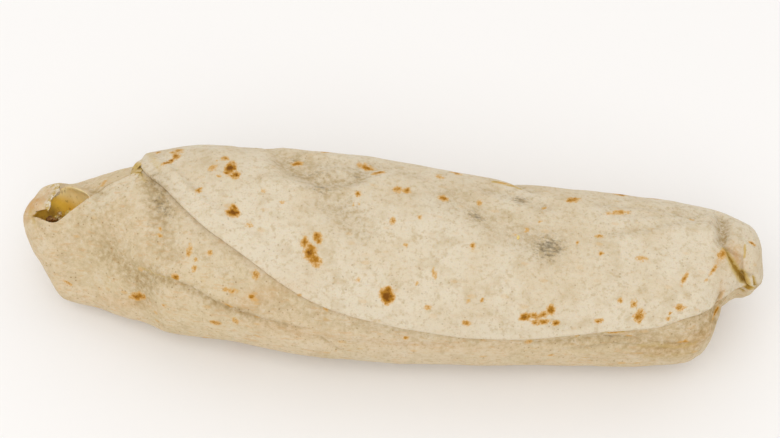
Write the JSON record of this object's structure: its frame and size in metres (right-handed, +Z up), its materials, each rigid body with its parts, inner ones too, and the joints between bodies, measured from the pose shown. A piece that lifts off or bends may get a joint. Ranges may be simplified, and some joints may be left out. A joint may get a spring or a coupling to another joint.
{
  "type": "burrito",
  "caption": "Small flour-tortilla burrito lying on its underside, with a free flap across the front, a tucked end and an open pocket at the other end.",
  "frame": {"origin": "centre of the underside of the bounding box, on the surface that the burrito lies on", "axes": "+X along the roll from the open pocket to the tucked end, -Y towards the front where the flap's free edge lies, +Z up"},
  "size_m": [0.1474, 0.0422, 0.0308],
  "materials": {
    "tortilla": "soft cream flour tortilla, mottled, with brown toasted spots and greyish greasy patches",
    "filling": "moist scrambled egg with sausage crumbs and melted cheese"
  },
  "bodies": {
    "root": {"tortilla": "tortilla", "filling": "filling"}
  },
  "joints": []
}
